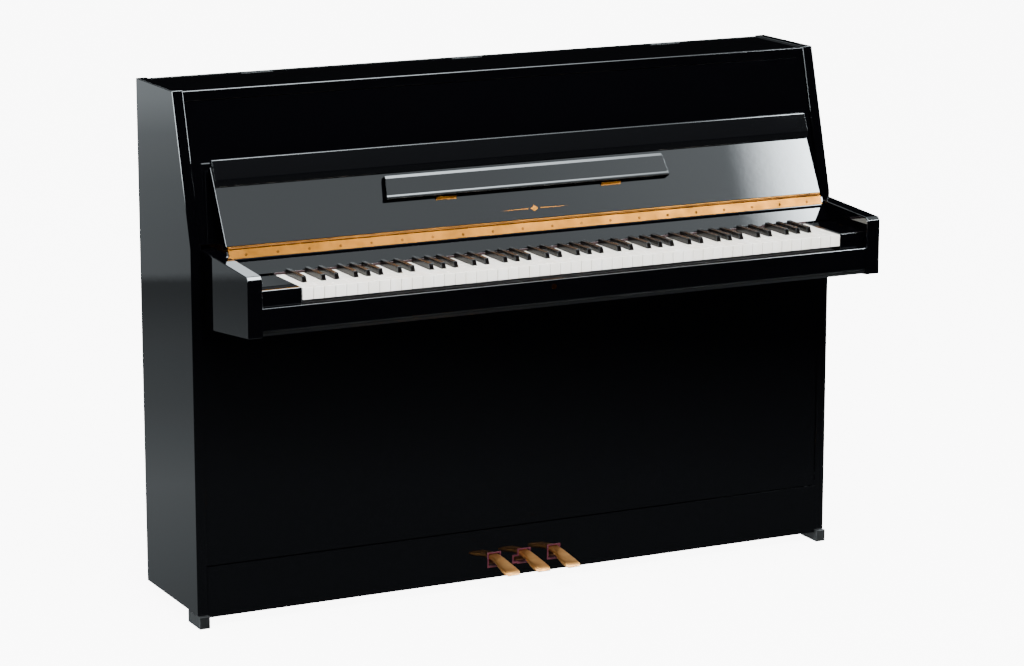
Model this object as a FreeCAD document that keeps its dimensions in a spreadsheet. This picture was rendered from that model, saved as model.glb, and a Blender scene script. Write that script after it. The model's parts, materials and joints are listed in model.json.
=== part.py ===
import FreeCAD, Part
import math
import os
import re
import Sketcher

# Upright piano in a polished case. Millimetres. +Z is up, the keyboard faces -Y, the bass end is at -X.
# The origin is on the floor, under the middle of the case.

doc = FreeCAD.newDocument("upright_piano")
sheet = doc.addObject("Spreadsheet::Sheet", "sizes")

# The driving dimensions: millimetres, and degrees where the name says so.
drivingSizes = {
    # case
    "caseWidth": 1480, "caseHeight": 1090, "lowerDepth": 289, "armReach": 241,
    "boardThickness": 23, "caseBottom": 26, "slopeStart": 785, "topDepth": 204, "jointGap": 1,
    # arms
    "armThickness": 31, "armFrontLow": 648, "armFrontTop": 770, "armRearLow": 622, "armRearTop": 782,
    "armBevel": 7, "armTenon": 44,
    # lid and panels
    "lidThickness": 20, "lidSink": 2, "lidRearGap": 19, "edgeEase": 1.5,
    "panelSetback": 8, "panelThickness": 20, "upperPanelLow": 790, "panelTopGap": 2,
    "toeRailLow": 20, "toeRailTop": 127, "toeRailThickness": 20, "lowerPanelSetback": 3,
    "lowerPanelThickness": 18, "panelSeam": 1.5, "lowerPanelTop": 619,
    # key bed, slip and blocks
    "bedLow": 648, "bedThickness": 42, "bedBack": 100, "bedFrontInset": 5, "bedLip": 12,
    "bedChamfer": 7, "cleatLow": 604, "cleatThickness": 20, "cleatGap": 0.5, "slipThickness": 13.5,
    "slipTop": 705, "slipFrontInset": 3, "slipEase": 1.5,
    "blockTop": 737, "bassBlockWidth": 91.5, "blockBack": -60,
    # keys
    "keyFront": -246.5, "keyTop": 735, "keyLow": 711, "keyStickTop": 732, "keyBack": 60,
    "whitePitch": 23.56, "keyGap": 0.9, "headLength": 50, "sharpWidth": 10.6, "sharpRise": 12,
    "sharpSlope": 6, "sharpTaper": 0.8, "nameboardReach": 8,
    # key frame
    "balanceY": -36, "railWidth": 20, "railFeltGap": 0.8, "frontRailHeight": 10,
    # fallboard, measured along and out from its face, from the long hinge's axis
    "hingeZ": 789, "restGap": 6.218, "leanDegrees": 28, "endGap": 2, "fallThickness": 18,
    "fallRoot": 5, "fallTip": 173, "flapAxis": 176, "flapLow": 129, "flapTop": 186,
    "flapThickness": 13, "flapLip": 11, "flapGap": 0.4, "flapNotch": 3.2,
    "nameboardDrop": 56, "nameboardThickness": 18, "feltThickness": 3, "feltDepth": 10, "feltShow": 3,
    "leafThickness": 1.2, "knuckleRadius": 2.6, "upperLeaf": 13, "lowerLeaf": 21, "hingeInset": 4,
    # music ledge
    "ledgeLow": 70.5, "ledgeTop": 122, "ledgeHalf": 326, "ledgeTaper": 7, "ledgeThickness": 13.5,
    "ledgeAxis": 67.8, "ledgeAxisOut": 2.6, "ledgeBarrel": 2.2, "ledgeHingeX": 190, "smallHingeWidth": 45,
    # lid hinges
    "lidAxisY": 249, "lidBarrel": 1.9, "lidLeaf": 20, "lidHingeWidth": 70, "lidHingeX": 480,
    # back, soundboard, plate
    "postDepth": 75, "postWidth": 60, "postCount": 5, "beamHeight": 64, "topBeamHeight": 50,
    "rearRailDepth": 13, "soundboardFront": 176, "soundboardThickness": 8, "ribDepth": 5.5,
    "ribWidth": 20, "ribCount": 7, "bridgeFront": 147, "bridgeWidth": 30, "plateFront": 150,
    "plateThickness": 10, "plateMargin": 17, "plateLow": 120, "plateTop": 1045, "pinBlockLow": 965,
    # strings and pins
    "pinRadius": 3.3, "pinReach": 32, "bassStringY": 138,
    "trebleWireRadius": 0.5, "bassWireRadius": 1.2, "firstPinRow": 975, "pinRowStep": 17,
    # action
    "hammerAxisY": 72, "hammerAxisZ": 794, "shankRadius": 2.2, "shankTop": 900, "headWidth": 9.6,
    "headReach": 26, "headHeight": 18, "restRailThickness": 16, "restRailHeight": 18, "actionHalf": 625,
    "bracketThickness": 12, "actionRailHeight": 17, "damperY": 106, "damperAxisZ": 784,
    "damperTop": 860, "damperFelt": 24, "damperGap": 0.4, "muteY": 122, "muteZ": 935,
    # pedals
    "pedalPitch": 70.5, "pedalAxisY": 60, "pedalAxisZ": 66, "pedalThickness": 10, "pedalNeck": 22,
    "pedalTip": 34, "pedalReach": 95, "pedalFall": 14, "pedalRear": 120, "pedalPinRadius": 4,
    "pedalPinLength": 50, "runningClearance": 0.06, "slotWidth": 31, "slotLow": 43, "slotTop": 76,
    "slotLining": 2.5, "notchWidth": 12, "notchLow": 45, "notchHeight": 18,
    "cheekGap": 28, "cheekThickness": 6, "rodRadius": 6, "rodY": 112, "rodTop": 765, "rodGap": 0.5,
    # feet
    "footToe": 10, "footLength": 66, "rearFootRadius": 25, "rearFootX": 600, "rearFootY": 225,
}

# Lengths worked out from the driving dimensions. A later entry may use an earlier one.
workedOut = {
    "caseBack": "(lowerDepth + armReach) / 2",
    "lowerFront": "caseBack - lowerDepth",
    "topFront": "caseBack - topDepth",
    "frontSlope": "(topFront - lowerFront) / (caseHeight - slopeStart)",
    "armFront": "lowerFront - armReach",
    "innerHalf": "caseWidth / 2 - boardThickness",
    "wellHalf": "innerHalf - armThickness",
    "lidTop": "caseHeight - lidSink",
    "upperPanelTop": "lidTop - lidThickness - panelTopGap",
    "bedTop": "bedLow + bedThickness",
    "slipFront": "armFront + slipFrontInset",
    "slipBack": "slipFront + slipThickness",
    "bedNose": "armFront + bedFrontInset",
    "keyboardLeft": "bassBlockWidth - wellHalf",
    "keyboardWidth": "52 * whitePitch",
    "keyboardRight": "keyboardLeft + keyboardWidth",
    "fallBackZ": "hingeZ + fallTip * cos(leanDegrees) - fallThickness * sin(leanDegrees)",
    "fallBackY": "topFront - (caseHeight - fallBackZ) * frontSlope + panelSetback - restGap",
    "hingeY": "fallBackY - fallTip * sin(leanDegrees) - fallThickness * cos(leanDegrees)",
    "longHingeHalf": "wellHalf - hingeInset",
    "nameboardFoot": "hingeY - nameboardDrop * sin(leanDegrees)",
    "nameboardFootZ": "hingeZ - nameboardDrop * cos(leanDegrees)",
    "keyTopBack": "nameboardFoot + nameboardReach",
    "sharpFront": "keyFront + headLength",
    "sharpBack": "nameboardFoot - feltShow - jointGap",
    "fallHalf": "wellHalf - endGap",
    "toeRailBack": "lowerFront + toeRailThickness",
    "lowerPanelBack": "lowerFront + lowerPanelSetback + lowerPanelThickness",
    "postFront": "caseBack - postDepth",
    "soundboardBack": "soundboardFront + soundboardThickness",
    "plateHalf": "innerHalf - plateMargin",
    "notePitch": "keyboardWidth / 88",
    "trebleStringY": "bridgeFront - trebleWireRadius",
    "trebleKnee": "firstPinRow - 6",
    "bassKnee": "damperTop - damperFelt - 10",
    "bottomBoardTop": "caseBottom + toeRailThickness",
    "pedalTop": "pedalAxisZ + pedalThickness / 2",
    "pedalLow": "pedalAxisZ - pedalThickness / 2",
    "pedalEnd": "lowerFront - pedalReach",
}

for row, (alias, amount) in enumerate(drivingSizes.items(), start=1):
    sheet.set(f"A{row}", alias)
    sheet.set(f"B{row}", str(amount))
    sheet.setAlias(f"B{row}", alias)
doc.recompute()

knownWords = re.compile(r"\b(" + "|".join(list(drivingSizes) + list(workedOut)) + r")\b")
finished = {}


def full(text):
    """Turns plain size names into an expression on the sheet's cells."""
    def swap(match):
        word = match.group(1)
        if word in workedOut:
            return "(" + full(workedOut[word]) + ")"
        return "sizes." + word
    return knownWords.sub(swap, str(text))


def number(text):
    return float(sheet.evalExpression(full(text)))


def bind(piece, **texts):
    for name, text in texts.items():
        piece.setExpression(name.replace("_", "."), full(text))
    return piece


def keep(name, piece):
    """Marks a finished sub-part: its label is its file name."""
    piece.Label = name
    finished[name] = piece
    return piece


def box(name, x, y, z, length, width, height):
    piece = doc.addObject("Part::Box", name)
    bind(piece, Length=length, Width=width, Height=height)
    return bind(piece, Placement_Base_x=x, Placement_Base_y=y, Placement_Base_z=z)


def rod(name, axis, x, y, z, radius, length):
    """A cylinder that starts at a point and runs along +X, +Y or +Z."""
    turns = {"X": ((0, 1, 0), 90), "Y": ((-1, 0, 0), 90), "Z": ((0, 0, 1), 0)}
    piece = doc.addObject("Part::Cylinder", name)
    direction, angle = turns[axis]
    piece.Placement = FreeCAD.Placement(
        FreeCAD.Vector(), FreeCAD.Rotation(FreeCAD.Vector(*direction), angle))
    bind(piece, Radius=radius, Height=length)
    return bind(piece, Placement_Base_x=x, Placement_Base_y=y, Placement_Base_z=z)


def originPlane(body, role):
    for feature in body.Origin.OriginFeatures:
        if feature.Role == role:
            return feature
    raise ValueError(role)


def prism(name, role, corners, start, length):
    """A closed outline on one of the body's own planes, padded along that plane's normal."""
    body = doc.addObject("PartDesign::Body", name)
    sketch = body.newObject("Sketcher::SketchObject", name + "_outline")
    sketch.AttachmentSupport = (originPlane(body, role), [""])
    sketch.MapMode = "FlatFace"
    bind(sketch, AttachmentOffset_Base_z=start)
    points = [FreeCAD.Vector(number(a), number(b), 0) for a, b in corners]
    count = len(points)
    for index in range(count):
        sketch.addGeometry(Part.LineSegment(points[index], points[(index + 1) % count]))
    for index in range(count):
        sketch.addConstraint(Sketcher.Constraint("Coincident", index, 2, (index + 1) % count, 1))
    for index, pair in enumerate(corners):
        for kind, text in zip(("DistanceX", "DistanceY"), pair):
            place = sketch.addConstraint(Sketcher.Constraint(kind, -1, 1, index, 1, number(text)))
            sketch.setExpression(f"Constraints[{place}]", full(text))
    pad = body.newObject("PartDesign::Pad", name + "_pad")
    pad.Profile = sketch
    bind(pad, Length=length)
    body.Tip = pad
    return body


def leaning(piece):
    """Sets a piece drawn upright (Z along the fallboard, -Y out of its face) on the leaning fallboard."""
    piece.Placement = FreeCAD.Placement(
        FreeCAD.Vector(), FreeCAD.Rotation(FreeCAD.Vector(-1, 0, 0), number("leanDegrees")))
    bind(piece, Placement_Base_y="hingeY", Placement_Base_z="hingeZ")
    piece.setExpression("Placement.Rotation.Angle", full("leanDegrees * 1 deg"))
    return piece


def fused(name, pieces):
    piece = doc.addObject("Part::MultiFuse", name)
    piece.Shapes = pieces
    return piece


def gathered(name, pieces):
    """Separate solids that share one node."""
    piece = doc.addObject("Part::Compound", name)
    piece.Links = pieces
    return piece


def cut(name, base, tool):
    piece = doc.addObject("Part::Cut", name)
    piece.Base = base
    piece.Tool = tool
    return piece


def ready(name, shape):
    """A sub-part whose many alike solids are placed by a loop, with its sizes read from the sheet."""
    piece = doc.addObject("Part::Feature", name)
    piece.Shape = shape
    piece.Placement = FreeCAD.Placement()
    return keep(name, piece)


# Case.

def makeCase():
    side = [("caseBack", "caseBottom"), ("lowerFront", "caseBottom"), ("lowerFront", "slopeStart"),
            ("topFront", "caseHeight"), ("caseBack", "caseHeight")]
    arm = [("armFront", "armFrontLow"), ("armFront", "armFrontTop - armBevel"),
           ("armFront + armBevel", "armFrontTop"), ("lowerFront", "armRearTop"),
           ("lowerFront + armTenon", "armRearTop"), ("lowerFront + armTenon", "armRearLow"),
           ("lowerFront", "armRearLow")]
    for hand, sideStart, armStart in (
            ("left", "-caseWidth / 2", "-innerHalf"),
            ("right", "innerHalf", "wellHalf")):
        keep("side_board_" + hand, prism("side_board_" + hand, "YZ_Plane", side, sideStart, "boardThickness"))
        keep("arm_" + hand, prism("arm_" + hand, "YZ_Plane", arm, armStart, "armThickness"))

    lidLow = "lidTop - lidThickness"
    lidBack = "caseBack - lidRearGap"
    lid = [("topFront", lidLow), ("topFront", "lidTop - edgeEase"), ("topFront + edgeEase", "lidTop"),
           (lidBack, "lidTop"), (lidBack, lidLow)]
    keep("top_lid", prism("top_lid", "YZ_Plane", lid, "jointGap - innerHalf", "2 * (innerHalf - jointGap)"))

    def panelFace(height):
        return f"topFront - (caseHeight - {height}) * frontSlope + panelSetback"
    panel = [(panelFace("upperPanelTop"), "upperPanelTop"), (panelFace("upperPanelLow"), "upperPanelLow"),
             (panelFace("upperPanelLow") + " + panelThickness", "upperPanelLow"),
             (panelFace("upperPanelTop") + " + panelThickness", "upperPanelTop")]
    keep("upper_panel", prism("upper_panel", "YZ_Plane", panel, "jointGap - innerHalf",
                              "2 * (innerHalf - jointGap)"))
    keep("lower_panel", box("lower_panel", "jointGap - innerHalf", "lowerFront + lowerPanelSetback",
                            "toeRailTop + panelSeam", "2 * (innerHalf - jointGap)", "lowerPanelThickness",
                            "lowerPanelTop - toeRailTop - panelSeam"))


# A pedal slot is a plain opening. The middle one has a notch low on its bass side, where the pedal locks.
def slotOutline(name, centre, margin, start, length, notched):
    main = box(name + "_main", f"{centre} - slotWidth / 2 + {margin}", start, f"slotLow + {margin}",
               f"slotWidth - 2 * {margin}", length, f"slotTop - slotLow - 2 * {margin}")
    if not notched:
        return main
    notch = box(name + "_notch", f"{centre} - slotWidth / 2 - notchWidth + {margin}", start,
                f"notchLow + {margin}", "notchWidth + slotWidth / 2", length, f"notchHeight - 2 * {margin}")
    return fused(name + "_shape", [main, notch])


pedalCentres = {"soft": "-pedalPitch", "mute": "0", "sustain": "pedalPitch"}


def makeBase():
    rail = box("toe_rail_board", "-innerHalf", "lowerFront", "toeRailLow", "2 * innerHalf",
               "toeRailThickness", "toeRailTop - toeRailLow")
    openings = []
    linings = []
    for pedal, centre in pedalCentres.items():
        notched = pedal == "mute"
        openings.append(slotOutline(pedal + "_slot", centre, "0", "lowerFront - 5",
                                    "toeRailThickness + 10", notched))
        outer = slotOutline(pedal + "_lining_outer", centre, "0", "lowerFront - 1",
                            "toeRailThickness - 1", notched)
        inner = slotOutline(pedal + "_lining_inner", centre, "slotLining", "lowerFront - 5",
                            "toeRailThickness + 10", notched)
        linings.append(cut(pedal + "_lining", outer, inner))
    keep("toe_rail", cut("toe_rail", rail, fused("pedal_slots", openings)))
    keep("pedal_slot_felts", gathered("pedal_slot_felts", linings))

    board = [box("bottom_board_plank", "-innerHalf", "toeRailBack", "caseBottom", "2 * innerHalf",
                 "postFront - toeRailBack", "bottomBoardTop - caseBottom")]
    for pedal, centre in pedalCentres.items():
        for sideName, offset in (("bass", "-cheekGap / 2 - cheekThickness"), ("treble", "cheekGap / 2")):
            board.append(box(f"{pedal}_cheek_{sideName}", f"{centre} + {offset}", "pedalAxisY - 10",
                             "bottomBoardTop", "cheekThickness", "20",
                             "pedalAxisZ - bottomBoardTop + 10"))
    bearing = rod("pedal_bearing", "X", "-2 * pedalPitch", "pedalAxisY", "pedalAxisZ",
                  "pedalPinRadius + runningClearance", "4 * pedalPitch")
    keep("bottom_board", cut("bottom_board", fused("bottom_board_blank", board), bearing))

    feet = []
    for hand, start in (("left", "-caseWidth / 2"), ("right", "innerHalf")):
        feet.append(box("front_foot_" + hand, start, "lowerFront - footToe", "0", "boardThickness",
                        "footLength", "caseBottom"))
    for hand, centre in (("left", "-rearFootX"), ("right", "rearFootX")):
        feet.append(rod("rear_foot_" + hand, "Z", centre, "rearFootY", "0", "rearFootRadius",
                        "bottomBoardTop"))
    keep("feet", gathered("feet", feet))


# Key bed and what closes it in.

def makeKeyBed():
    bed = [("slipBack + 0.5", "bedTop"), ("slipBack + 0.5", "bedLow + bedLip"),
           ("bedNose", "bedLow + bedLip"), ("bedNose", "bedLow + bedChamfer"),
           ("bedNose + bedChamfer", "bedLow"), ("lowerPanelBack + cleatGap", "bedLow"),
           ("lowerPanelBack + cleatGap", "cleatLow"),
           ("lowerPanelBack + cleatGap + cleatThickness", "cleatLow"),
           ("lowerPanelBack + cleatGap + cleatThickness", "bedLow"), ("bedBack", "bedLow"),
           ("bedBack", "bedTop")]
    keep("key_bed", prism("key_bed", "YZ_Plane", bed, "-wellHalf", "2 * wellHalf"))
    slip = [("slipFront", "bedLow + bedLip"), ("slipFront", "slipTop - slipEase"),
            ("slipFront + slipEase", "slipTop"), ("slipBack - slipEase", "slipTop"),
            ("slipBack", "slipTop - slipEase"), ("slipBack", "bedLow + bedLip")]
    keep("key_slip", prism("key_slip", "YZ_Plane", slip, "-wellHalf", "2 * wellHalf"))
    strike = box("lock_strike", "-75", "slipFront + 2.5", "slipTop", "46", "8.5", "1")
    barrel = rod("lock_barrel", "Y", "-52", "slipFront - 1", "slipTop - 14", "5.5", "1")
    keep("slip_lock", gathered("slip_lock", [strike, barrel]))
    blockLength = "blockBack - keyFront"
    blockHeight = "blockTop - bedTop"
    keep("key_block_left", box("key_block_left", "-wellHalf", "keyFront", "bedTop",
                               "bassBlockWidth - jointGap", blockLength, blockHeight))
    keep("key_block_right", box("key_block_right", "keyboardRight + jointGap", "keyFront", "bedTop",
                                "wellHalf - keyboardRight - jointGap", blockLength, blockHeight))
    rails = []
    for name, middle, height in (("front", "sharpFront - railWidth", "frontRailHeight"),
                                 ("balance", "balanceY", "keyLow - railFeltGap - bedTop"),
                                 ("back", "keyBack - railWidth", "keyLow - railFeltGap - bedTop")):
        rails.append(box(f"key_frame_{name}_rail", "keyboardLeft", f"{middle} - railWidth / 2", "bedTop",
                         "keyboardWidth", "railWidth", height))
    keep("key_frame", gathered("key_frame", rails))


# Fallboard.

def makeFallboard():
    foot = [("0", "-nameboardDrop"), ("0", "-fallRoot"), ("nameboardThickness", "-fallRoot"),
            ("nameboardThickness", "nameboardThickness * tan(leanDegrees) - nameboardDrop")]
    keep("nameboard", leaning(prism("nameboard", "YZ_Plane", foot, "-wellHalf", "2 * wellHalf")))
    keep("nameboard_felt", box("nameboard_felt", "keyboardLeft", "nameboardFoot - feltShow",
                               "nameboardFootZ - feltThickness", "keyboardWidth", "feltDepth",
                               "feltThickness"))

    board = [("0", "fallRoot"), ("0", "fallTip"), ("fallThickness", "fallTip"),
             ("fallThickness", "fallRoot")]
    keep("fallboard", leaning(prism("fallboard", "YZ_Plane", board, "-fallHalf", "2 * fallHalf")))

    flap = [("-flapGap", "flapLow + 1"), ("-flapGap - 2", "flapLow"), ("-flapLip", "flapLow + 11"),
            ("-flapThickness", "flapTop - 4"), ("4 - flapThickness", "flapTop"),
            ("-flapGap - 2", "flapTop"), ("-flapGap", "flapTop - 2"),
            ("-flapGap", "flapAxis + flapNotch + 1"), ("-flapNotch", "flapAxis + flapNotch"),
            ("-flapNotch", "flapAxis - flapNotch"), ("-flapGap", "flapAxis - flapNotch - 1")]
    keep("fallboard_flap", leaning(prism("fallboard_flap", "YZ_Plane", flap, "-fallHalf",
                                         "2 * fallHalf")))

    ledge = [("-ledgeHalf", "ledgeLow"), ("ledgeHalf", "ledgeLow"),
             ("ledgeHalf - ledgeTaper", "ledgeTop"), ("ledgeTaper - ledgeHalf", "ledgeTop")]
    keep("music_ledge", leaning(prism("music_ledge", "XZ_Plane", ledge, "flapGap",
                                      "ledgeThickness - flapGap")))


def makeHinges():
    lowerLeaf = leaning(prism("long_hinge_leaf", "YZ_Plane",
                              [("-leafThickness", "-lowerLeaf"), ("-leafThickness", "-1"),
                               ("0", "-1"), ("0", "-lowerLeaf")],
                              "-longHingeHalf", "2 * longHingeHalf"))
    knuckle = rod("long_hinge_knuckle", "X", "-longHingeHalf", "hingeY", "hingeZ", "knuckleRadius",
                  "2 * longHingeHalf")
    keep("fallboard_hinge_lower", fused("fallboard_hinge_lower", [lowerLeaf, knuckle]))
    upperLeaf = prism("fallboard_hinge_upper", "YZ_Plane",
                      [("0", "fallRoot - leafThickness"), ("0", "fallRoot"), ("upperLeaf", "fallRoot"),
                       ("upperLeaf", "fallRoot - leafThickness")],
                      "-longHingeHalf", "2 * longHingeHalf")
    keep("fallboard_hinge_upper", leaning(upperLeaf))

    small = []
    for hand, centre in (("bass", "-ledgeHingeX"), ("treble", "ledgeHingeX")):
        start = f"{centre} - smallHingeWidth / 2"
        barrel = rod(f"ledge_barrel_{hand}", "X", start, "-ledgeAxisOut", "ledgeAxis", "ledgeBarrel",
                     "smallHingeWidth")
        leaf = box(f"ledge_leaf_{hand}", start, "-1", "ledgeAxis - 4", "smallHingeWidth", "1", "4")
        small.append(fused(f"ledge_hinge_{hand}", [barrel, leaf]))
    flapHingeCentres = {"bass": "-longHingeHalf * 0.8", "middle": "0", "treble": "longHingeHalf * 0.8"}
    for place, centre in flapHingeCentres.items():
        start = f"{centre} - smallHingeWidth / 2"
        barrel = rod(f"flap_barrel_{place}", "X", start, "0", "flapAxis", "2", "smallHingeWidth")
        leaf = box(f"flap_leaf_{place}", start, "0", "fallTip", "smallHingeWidth", "14", "1.2")
        small.append(fused(f"flap_hinge_{place}", [barrel, leaf]))
    keep("small_hinges", leaning(gathered("small_hinges", small)))

    lidHinges = []
    for place, centre in (("bass", "-lidHingeX"), ("middle", "0"), ("treble", "lidHingeX")):
        start = f"{centre} - lidHingeWidth / 2"
        barrel = rod(f"lid_barrel_{place}", "X", start, "lidAxisY", "lidTop", "lidBarrel", "lidHingeWidth")
        leaf = box(f"lid_leaf_{place}", start, "caseBack - rearRailDepth - leafThickness", "lidTop - lidLeaf",
                   "lidHingeWidth", "leafThickness", "lidLeaf")
        lidHinges.append(fused(f"lid_hinge_{place}", [barrel, leaf]))
    keep("lid_hinges", gathered("lid_hinges", lidHinges))


# Back, soundboard and plate.

# The plate's window, clear of the bridges: its lower edge climbs towards the treble.
windowFoot = [("30 - plateHalf", "plateLow + 50"), ("200", "plateLow + 50"), ("330", "520"),
              ("600", "800"), ("plateHalf - 30", "880")]
windowTop = "pinBlockLow - 30"
trebleBridgeLine = [("-560", "240"), ("-300", "330"), ("0", "470"), ("300", "660"), ("600", "880")]
bassBridgeLine = [("-190", "215"), ("140", "265")]


def bridge(name, line):
    """A bar of even height that follows a line across the soundboard."""
    above = [(x, f"{z} + bridgeWidth") for x, z in line]
    return prism(name, "XZ_Plane", line + above[::-1], "-soundboardFront", "soundboardFront - bridgeFront")


def makeBack():
    timbers = [
        box("bottom_beam", "-innerHalf", "postFront", "bottomBoardTop", "2 * innerHalf", "postDepth",
            "beamHeight"),
        box("top_beam", "-innerHalf", "postFront", "plateTop - topBeamHeight", "2 * innerHalf",
            "postDepth", "topBeamHeight"),
        box("rear_rail", "-innerHalf", "caseBack - rearRailDepth", "plateTop - topBeamHeight",
            "2 * innerHalf", "rearRailDepth", "lidTop - plateTop + topBeamHeight"),
    ]
    for index in range(int(number("postCount"))):
        timbers.append(box(f"post_{index + 1}",
                           f"-innerHalf + {index} * (2 * innerHalf - postWidth) / (postCount - 1)",
                           "postFront", "bottomBoardTop", "postWidth", "postDepth",
                           "plateTop - bottomBoardTop"))
    keep("back_frame", fused("back_frame", timbers))

    board = [box("soundboard_panel", "-plateHalf", "soundboardFront", "bottomBoardTop + beamHeight",
                 "2 * plateHalf", "soundboardThickness",
                 "pinBlockLow - 5 - bottomBoardTop - beamHeight")]
    for index in range(int(number("ribCount"))):
        board.append(box(f"rib_{index + 1}", "30 - plateHalf", "soundboardBack",
                         f"bottomBoardTop + beamHeight + 60 + {index} * "
                         "(pinBlockLow - bottomBoardTop - beamHeight - 140) / (ribCount - 1)",
                         "2 * plateHalf - 60", "ribDepth", "ribWidth"))
    board.append(bridge("treble_bridge", trebleBridgeLine))
    board.append(bridge("bass_bridge", bassBridgeLine))
    keep("soundboard", fused("soundboard", board))
    keep("pin_block", box("pin_block", "-plateHalf", "plateFront + plateThickness", "pinBlockLow",
                          "2 * plateHalf", "postFront - plateFront - plateThickness",
                          "plateTop - pinBlockLow"))
    plate = box("plate_blank", "-plateHalf", "plateFront", "plateLow", "2 * plateHalf", "plateThickness",
                "plateTop - plateLow")
    window = prism("plate_window", "XZ_Plane",
                   windowFoot + [("plateHalf - 30", windowTop), ("30 - plateHalf", windowTop)],
                   "-plateFront - plateThickness - 5", "plateThickness + 10")
    keep("iron_plate", cut("iron_plate", plate, window))


# The first 30 notes are the bass: 10 of one string and 20 of two. Every other note has three strings.
bassNotes = 30
singleNotes = 10
noteCount = 88


def noteX(note):
    return number("keyboardLeft") + (note + 0.5) * number("notePitch")


def stringOffsets(note):
    count = 1 if note < singleNotes else 2 if note < bassNotes else 3
    step = 3.4
    return [step * (index - (count - 1) / 2) for index in range(count)]


def windowFootAt(x):
    """Height of the plate window's lower edge at x."""
    line = [(number(a), number(b)) for a, b in windowFoot]
    for (x0, z0), (x1, z1) in zip(line, line[1:]):
        if x <= x1:
            return z0 + (max(x, x0) - x0) * (z1 - z0) / (x1 - x0)
    return line[-1][1]


def wire(points, radius):
    """A string through the points: straight down past the pins, or past the bass dampers, then slanted."""
    runs = []
    for start, end in zip(points, points[1:]):
        runs.append(Part.makeCylinder(radius, (end - start).Length, start, end - start))
    knees = [Part.makeSphere(radius, point) for point in points[1:-1]]
    return runs[0].fuse(runs[1:] + knees)


def makeStrings():
    pins = []
    bass = []
    treble = []
    bassSlant = 330
    tenorSlant = -300
    for note in range(noteCount):
        isBass = note < bassNotes
        y = number("bassStringY" if isBass else "trebleStringY")
        radius = number("bassWireRadius" if isBass else "trebleWireRadius")
        slant = bassSlant if isBass else tenorSlant * (noteCount - note) / (noteCount - bassNotes)
        for index, offset in enumerate(stringOffsets(note)):
            x = noteX(note) + offset
            z = number("firstPinRow") + number("pinRowStep") * ((note * 3 + index) % 4)
            pins.append(Part.makeCylinder(
                number("pinRadius") * (0.45 if len(stringOffsets(note)) == 3 else 0.6),
                number("pinReach"),
                FreeCAD.Vector(x, number("plateFront") - number("pinReach"), z),
                FreeCAD.Vector(0, 1, 0)))
            foot = windowFootAt(x + slant) - 12
            points = [FreeCAD.Vector(x, y, z - number("pinRadius")),
                      FreeCAD.Vector(x, y, number("bassKnee" if isBass else "trebleKnee")),
                      FreeCAD.Vector(x + slant, y, foot)]
            (bass if isBass else treble).append(wire(points, radius))
    ready("tuning_pins", Part.makeCompound(pins))
    ready("bass_strings", Part.makeCompound(bass))
    ready("treble_strings", Part.makeCompound(treble))


# Action.

def makeAction():
    bracket = [("keyBack + 6", "bedTop"), ("bedBack - 4", "bedTop"),
               ("bedBack - 4", "hammerAxisZ"), ("muteY + 4", "muteZ + 10"),
               ("muteY - 6", "muteZ + 10"), ("hammerAxisY - 12", "hammerAxisZ - 12")]
    frame = [prism("bracket_bass", "YZ_Plane", bracket, "-actionHalf - bracketThickness - 3",
                   "bracketThickness"),
             prism("bracket_treble", "YZ_Plane", bracket, "actionHalf + 15", "bracketThickness"),
             box("action_rail", "-actionHalf - 3 - bracketThickness", "hammerAxisY - 12",
                 "hammerAxisZ - 12 - actionRailHeight",
                 "2 * actionHalf + 18 + 2 * bracketThickness", "26", "actionRailHeight")]
    keep("action_frame", fused("action_frame", frame))
    keep("hammer_rest_rail", box("hammer_rest_rail", "-actionHalf",
                                 "hammerAxisY - shankRadius - 1 - restRailThickness",
                                 "shankTop - 32", "2 * actionHalf + 8", "restRailThickness",
                                 "restRailHeight"))
    rail = box("mute_rail", "-actionHalf + 3", "muteY", "muteZ", "2 * actionHalf", "6", "15")
    felt = box("mute_felt", "-actionHalf + 3", "muteY + 2", "muteZ - 30", "2 * actionHalf", "2", "30")
    keep("muffler_rail", fused("muffler_rail", [rail, felt]))

    axisY = number("hammerAxisY")
    axisZ = number("hammerAxisZ")
    headZ = number("shankTop")
    half = number("headHeight") / 2
    reach = number("headReach")
    nose = [(-6, -half + 1), (reach * 0.62, -half), (reach, 0), (reach * 0.62, half), (-6, half - 1)]
    corners = [FreeCAD.Vector(-number("headWidth") / 2, axisY + y, headZ + z) for y, z in nose]
    head = Part.Face(Part.makePolygon(corners + corners[:1])).extrude(
        FreeCAD.Vector(number("headWidth"), 0, 0))
    shank = Part.makeCylinder(number("shankRadius"), headZ - axisZ, FreeCAD.Vector(0, axisY, axisZ))
    butt = Part.makeBox(8, 14, 20, FreeCAD.Vector(-4, axisY - 6, axisZ - 10))
    hammer = butt.fuse([shank, head]).removeSplitter()
    ready("hammers", Part.makeCompound([hammer.translated(FreeCAD.Vector(noteX(note), 0, 0))
                                        for note in range(noteCount)]))

    dampers = []
    damperNotes = 66
    for note in range(damperNotes):
        isBass = note < bassNotes
        face = number("bassStringY - bassWireRadius" if isBass else "trebleStringY - trebleWireRadius")
        face -= number("damperGap")
        y = number("damperY")
        top = number("damperTop")
        felt = number("damperFelt")
        lever = Part.makeBox(5, 4, top - number("damperAxisZ"),
                             FreeCAD.Vector(-2.5, y, number("damperAxisZ")))
        pad = Part.makeBox(9.5, face - y - 4, felt, FreeCAD.Vector(-4.75, y + 4, top - felt))
        dampers.append(lever.fuse(pad).removeSplitter().translated(FreeCAD.Vector(noteX(note), 0, 0)))
    ready("dampers", Part.makeCompound(dampers))


# Pedals.

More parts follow.
